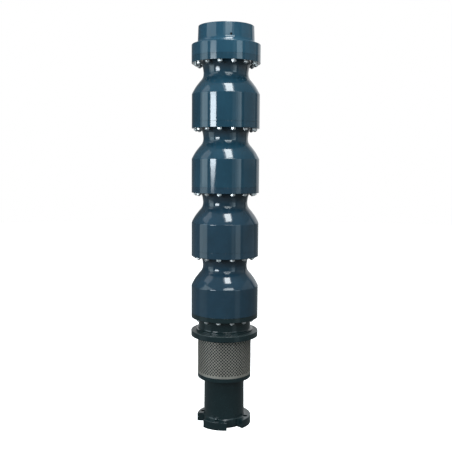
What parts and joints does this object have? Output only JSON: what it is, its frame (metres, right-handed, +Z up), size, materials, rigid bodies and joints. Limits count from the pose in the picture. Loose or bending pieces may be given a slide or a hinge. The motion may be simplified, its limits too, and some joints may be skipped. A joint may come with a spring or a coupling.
{
  "type": "submersible borehole pump",
  "caption": "Upright multi-stage borehole pump with flanged bowl casings, a perforated suction strainer, a threaded outlet on top and a slotted motor flange below.",
  "frame": {"origin": "centre of the motor flange's lower face, on the floor", "axes": "+Z up along the shaft's axis, -Y towards the camera of the picture, +X to its right"},
  "size_m": [0.2468, 0.2468, 1.446],
  "materials": {
    "discharge_casing": "gloss petrol-blue paint on cast iron",
    "discharge_bearing_cap": "gloss petrol-blue paint on cast iron",
    "bowl_casing_1": "gloss petrol-blue paint on cast iron",
    "bowl_casing_2": "gloss petrol-blue paint on cast iron",
    "bowl_casing_3": "gloss petrol-blue paint on cast iron",
    "bowl_casing_4": "gloss petrol-blue paint on cast iron",
    "joint_gasket": "matt black joint sheet",
    "suction_casing": "gloss petrol-blue paint on cast iron",
    "suction_wear_ring": "turned bronze",
    "suction_bearing": "turned bronze",
    "suction_rib": "gloss petrol-blue paint on cast iron",
    "strainer_screen": "perforated stainless sheet",
    "motor_adapter": "dark gloss petrol paint on cast iron",
    "pump_shaft": "ground stainless steel",
    "shaft_coupling": "turned stainless steel",
    "first_stage_impeller": "cast bronze"
  },
  "bodies": {
    "root": {"discharge_casing": "discharge_casing", "discharge_bearing_cap": "discharge_bearing_cap", "bowl_casing_1": "bowl_casing_1", "bowl_casing_2": "bowl_casing_2", "bowl_casing_3": "bowl_casing_3", "bowl_casing_4": "bowl_casing_4", "joint_gasket_1": "joint_gasket", "joint_gasket_2": "joint_gasket", "joint_gasket_3": "joint_gasket", "joint_gasket_4": "joint_gasket", "joint_gasket_5": "joint_gasket", "suction_casing": "suction_casing", "suction_wear_ring": "suction_wear_ring", "suction_bearing": "suction_bearing", "suction_rib_1": "suction_rib", "suction_rib_2": "suction_rib", "suction_rib_3": "suction_rib", "suction_rib_4": "suction_rib", "suction_rib_5": "suction_rib", "suction_rib_6": "suction_rib", "strainer_screen": "strainer_screen", "motor_adapter": "motor_adapter", "pump_shaft": "pump_shaft", "shaft_coupling": "shaft_coupling", "first_stage_impeller": "first_stage_impeller"}
  },
  "joints": []
}
